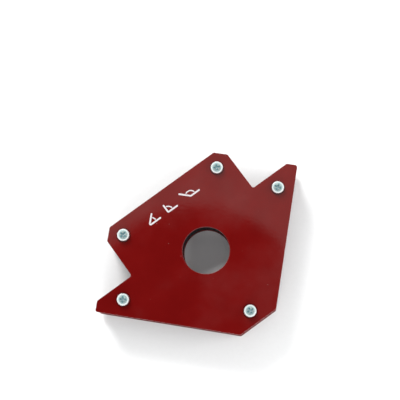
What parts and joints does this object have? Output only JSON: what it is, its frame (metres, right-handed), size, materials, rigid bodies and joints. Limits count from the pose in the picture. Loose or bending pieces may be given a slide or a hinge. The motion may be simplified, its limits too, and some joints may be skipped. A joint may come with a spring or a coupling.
{
  "type": "welding magnet holder",
  "caption": "Flat arrow-shaped magnetic welding holder with red plates, pan-head screws, a large centre hole and 45, 90 and 135 degree edges.",
  "frame": {"origin": "the middle of the large centre hole, halfway between the two plates", "axes": "the holder lies flat: +Z along the centre hole out of the front plate, +X out of the side edge, -Y out of the base edge; the outline is its own mirror image about y = -x"},
  "size_m": [0.11, 0.11, 0.0228],
  "materials": {
    "red_paint": "gloss dark red baked coating on steel sheet",
    "black_moulding": "black moulded plastic with a fine matt texture",
    "ferrite": "ground dark grey ferrite",
    "spacer_metal": "turned bare aluminium",
    "bright_zinc": "bright zinc plate with a faint blue passivation",
    "white_ink": "off-white screen print ink"
  },
  "bodies": {
    "root": {"front_plate": "red_paint", "rear_plate": "red_paint", "core_frame": "black_moulding", "magnet_base_1": "ferrite", "magnet_base_2": "ferrite", "magnet_side_1": "ferrite", "magnet_side_2": "ferrite", "magnet_far_1": "ferrite", "magnet_far_2": "ferrite", "spacer_1": "spacer_metal", "spacer_2": "spacer_metal", "spacer_3": "spacer_metal", "spacer_4": "spacer_metal", "spacer_5": "spacer_metal", "front_screw_1": "bright_zinc", "front_screw_2": "bright_zinc", "front_screw_3": "bright_zinc", "front_screw_4": "bright_zinc", "front_screw_5": "bright_zinc", "rear_screw_1": "bright_zinc", "rear_screw_2": "bright_zinc", "rear_screw_3": "bright_zinc", "rear_screw_4": "bright_zinc", "rear_screw_5": "bright_zinc"}
  },
  "joints": []
}
